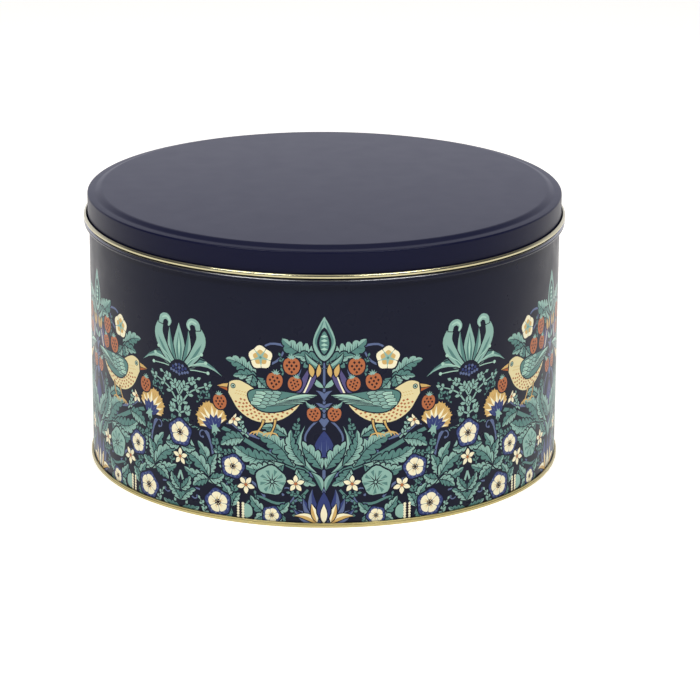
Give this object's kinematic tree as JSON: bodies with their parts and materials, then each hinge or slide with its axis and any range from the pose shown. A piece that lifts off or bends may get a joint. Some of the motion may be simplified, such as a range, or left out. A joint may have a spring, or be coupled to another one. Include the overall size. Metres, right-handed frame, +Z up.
{
  "type": "cookie tin",
  "caption": "Round tinplate box with a lift-off slip lid, a stop bead under the lid, a printed frieze round the wall and a gold rim at its foot.",
  "frame": {"origin": "centre of the ring the tin stands on, in the standing plane", "axes": "+Z up along the tin's axis; the side seam is at +Y, the back; a bird's mirror line of the frieze faces -Y, the front"},
  "size_m": [0.254, 0.254, 0.146],
  "materials": {
    "navy_enamel": "dark navy ink under clear satin varnish, on tinplate",
    "printed_tinplate": "navy ground with a printed frieze in green, blue, cream, ochre and orange, under clear gloss varnish",
    "gold_lacquer": "clear gold lacquer over bright tinplate"
  },
  "bodies": {
    "tin": {"body_wall": "printed_tinplate", "base": "gold_lacquer"},
    "lid": {"lid": "navy_enamel"}
  },
  "joints": [
    {"name": "lid_lift", "type": "slide", "parent": "tin", "child": "lid", "axis": [0, 0, 1], "range_m": [0, 0.1]}
  ]
}
